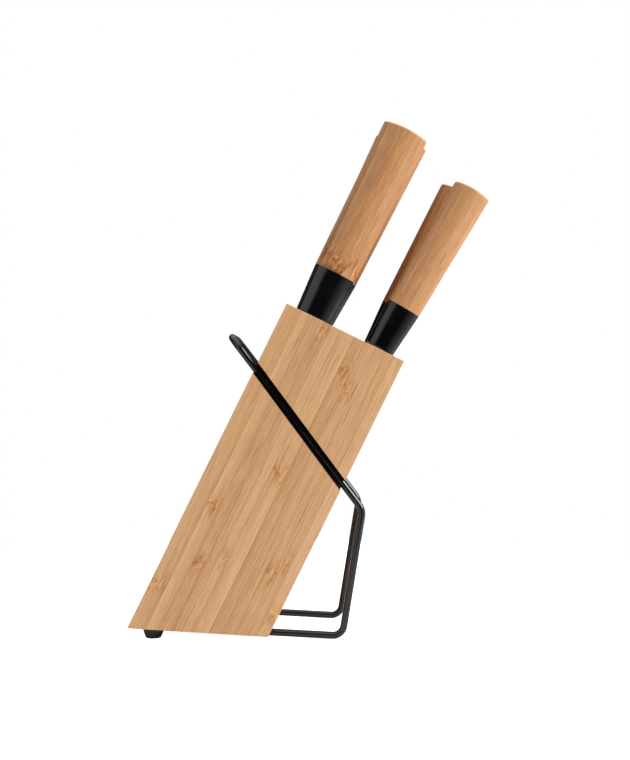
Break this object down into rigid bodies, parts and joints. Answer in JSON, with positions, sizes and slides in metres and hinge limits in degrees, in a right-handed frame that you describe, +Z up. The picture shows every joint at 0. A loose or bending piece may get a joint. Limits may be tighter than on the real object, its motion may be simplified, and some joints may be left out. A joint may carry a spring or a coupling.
{
  "type": "knife block with knives",
  "caption": "Leaning bamboo knife block in a bent wire stand with rubber feet, holding long and short knives that have bamboo handles and black ferrules.",
  "frame": {"origin": "on the ground, below the middle of the overall length and width", "axes": "+Z up, +X forward, the way the handles lean, +Y to the right-hand side"},
  "size_m": [0.2494, 0.09, 0.3591],
  "materials": {
    "block_bamboo": "satin lacquered bamboo strips",
    "handle_bamboo": "satin toasted bamboo",
    "ferrule_black": "gloss black",
    "stand_wire": "semi-gloss black coating",
    "blade_steel": "fine satin",
    "clamp_steel": "zinc plated",
    "foot_rubber": "matte black"
  },
  "bodies": {
    "block": {"left_outer_board": "block_bamboo", "left_inner_board": "block_bamboo", "right_inner_board": "block_bamboo", "right_outer_board": "block_bamboo", "wire_stand": "stand_wire", "left_clamp_plate": "clamp_steel", "right_clamp_plate": "clamp_steel", "clamp_screws": "clamp_steel", "left_foot": "foot_rubber", "right_foot": "foot_rubber"},
    "carving_knife": {"carving_blade": "blade_steel", "carving_ferrule": "ferrule_black", "carving_handle": "handle_bamboo"},
    "chef_knife": {"chef_blade": "blade_steel", "chef_ferrule": "ferrule_black", "chef_handle": "handle_bamboo"},
    "bread_knife": {"bread_blade": "blade_steel", "bread_ferrule": "ferrule_black", "bread_handle": "handle_bamboo"},
    "utility_knife": {"utility_blade": "blade_steel", "utility_ferrule": "ferrule_black", "utility_handle": "handle_bamboo"},
    "paring_knife": {"paring_blade": "blade_steel", "paring_ferrule": "ferrule_black", "paring_handle": "handle_bamboo"}
  },
  "joints": [
    {"name": "carving_draw", "type": "slide", "parent": "block", "child": "carving_knife", "axis": [0.4493, 0, 0.8934], "range_m": [0, 0.21]},
    {"name": "chef_draw", "type": "slide", "parent": "block", "child": "chef_knife", "axis": [0.4478, 0, 0.8942], "range_m": [0, 0.21]},
    {"name": "bread_draw", "type": "slide", "parent": "block", "child": "bread_knife", "axis": [0.4297, 0, 0.903], "range_m": [0, 0.21]},
    {"name": "utility_draw", "type": "slide", "parent": "block", "child": "utility_knife", "axis": [0.5068, 0, 0.8621], "range_m": [0, 0.13]},
    {"name": "paring_draw", "type": "slide", "parent": "block", "child": "paring_knife", "axis": [0.4633, 0, 0.8862], "range_m": [0, 0.1]}
  ]
}
